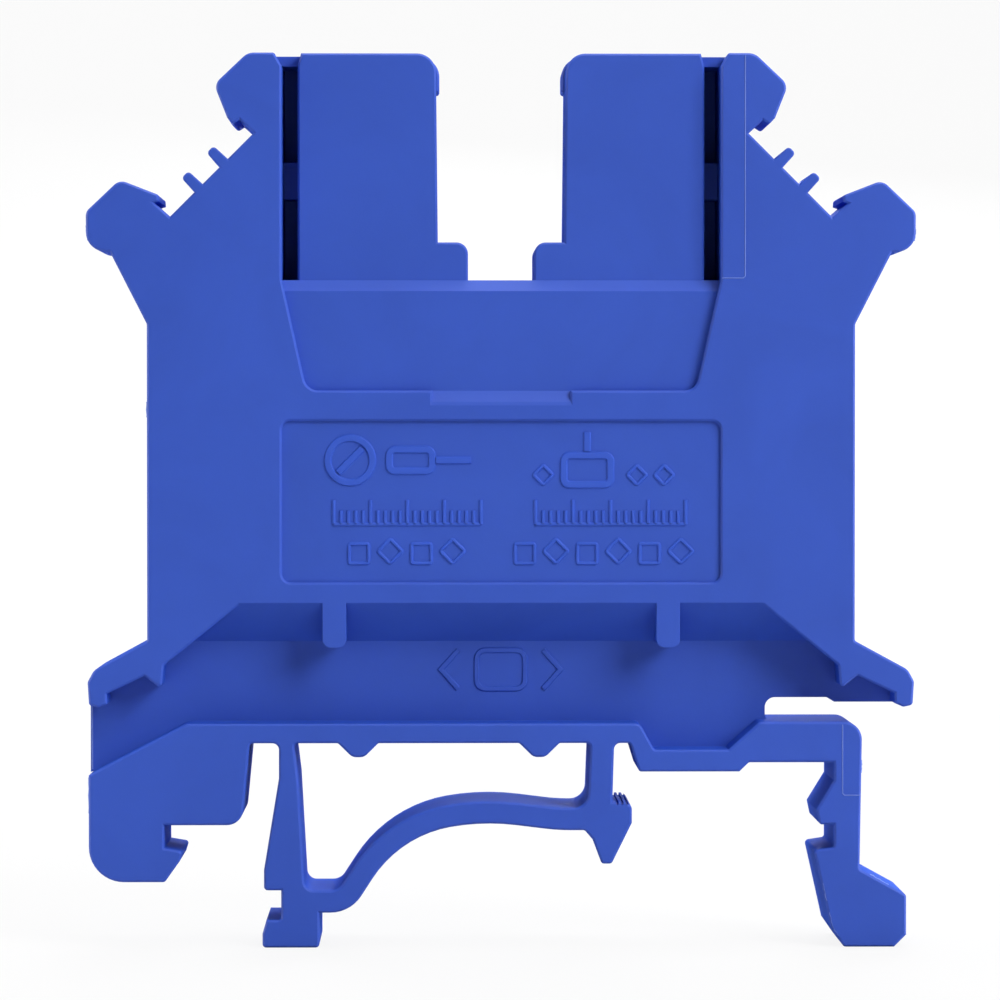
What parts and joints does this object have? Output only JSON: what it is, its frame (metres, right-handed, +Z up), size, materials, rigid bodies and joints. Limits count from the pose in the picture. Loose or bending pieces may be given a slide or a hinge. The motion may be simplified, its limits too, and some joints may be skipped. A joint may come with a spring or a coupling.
{
  "type": "din rail screw terminal block",
  "caption": "Feed-through screw terminal block for 35 mm rail, with two cage clamps on a current bar in a thin moulded housing.",
  "frame": {"origin": "on the top face of the 35 mm rail, midway along the block and across its thickness", "axes": "+X from the rigid foot to the sprung foot, +Y towards the open side, +Z up from the rail to the screw towers"},
  "size_m": [0.0424, 0.0062, 0.0459],
  "materials": {
    "housing": "moulded polyamide, slight sheen",
    "brass": "rolled, bare",
    "steel": "zinc plated, satin"
  },
  "bodies": {
    "block": {"housing": "housing", "current_bar": "brass"},
    "screw_left": {"clamp_screw_left": "steel"},
    "cage_left": {"clamp_cage_left": "steel"},
    "screw_right": {"clamp_screw_right": "steel"},
    "cage_right": {"clamp_cage_right": "steel"}
  },
  "joints": [
    {"name": "screw_left_turn", "type": "hinge", "parent": "block", "child": "screw_left", "pos_m": [-0.0069, 0.0005, 0.024], "axis": [0, 0, -1], "range_deg": [0, 2304]},
    {"name": "cage_left_lift", "type": "slide", "parent": "block", "child": "cage_left", "axis": [0, 0, 1], "range_m": [0, 0.0032]},
    {"name": "screw_right_turn", "type": "hinge", "parent": "block", "child": "screw_right", "pos_m": [0.0069, 0.0005, 0.024], "axis": [0, 0, -1], "range_deg": [0, 2304]},
    {"name": "cage_right_lift", "type": "slide", "parent": "block", "child": "cage_right", "axis": [0, 0, 1], "range_m": [0, 0.0032]}
  ],
  "couplings": [
    {"joint": "screw_left_turn", "follows": "cage_left_lift", "rad_per_m": 12566},
    {"joint": "screw_right_turn", "follows": "cage_right_lift", "rad_per_m": 12566}
  ]
}
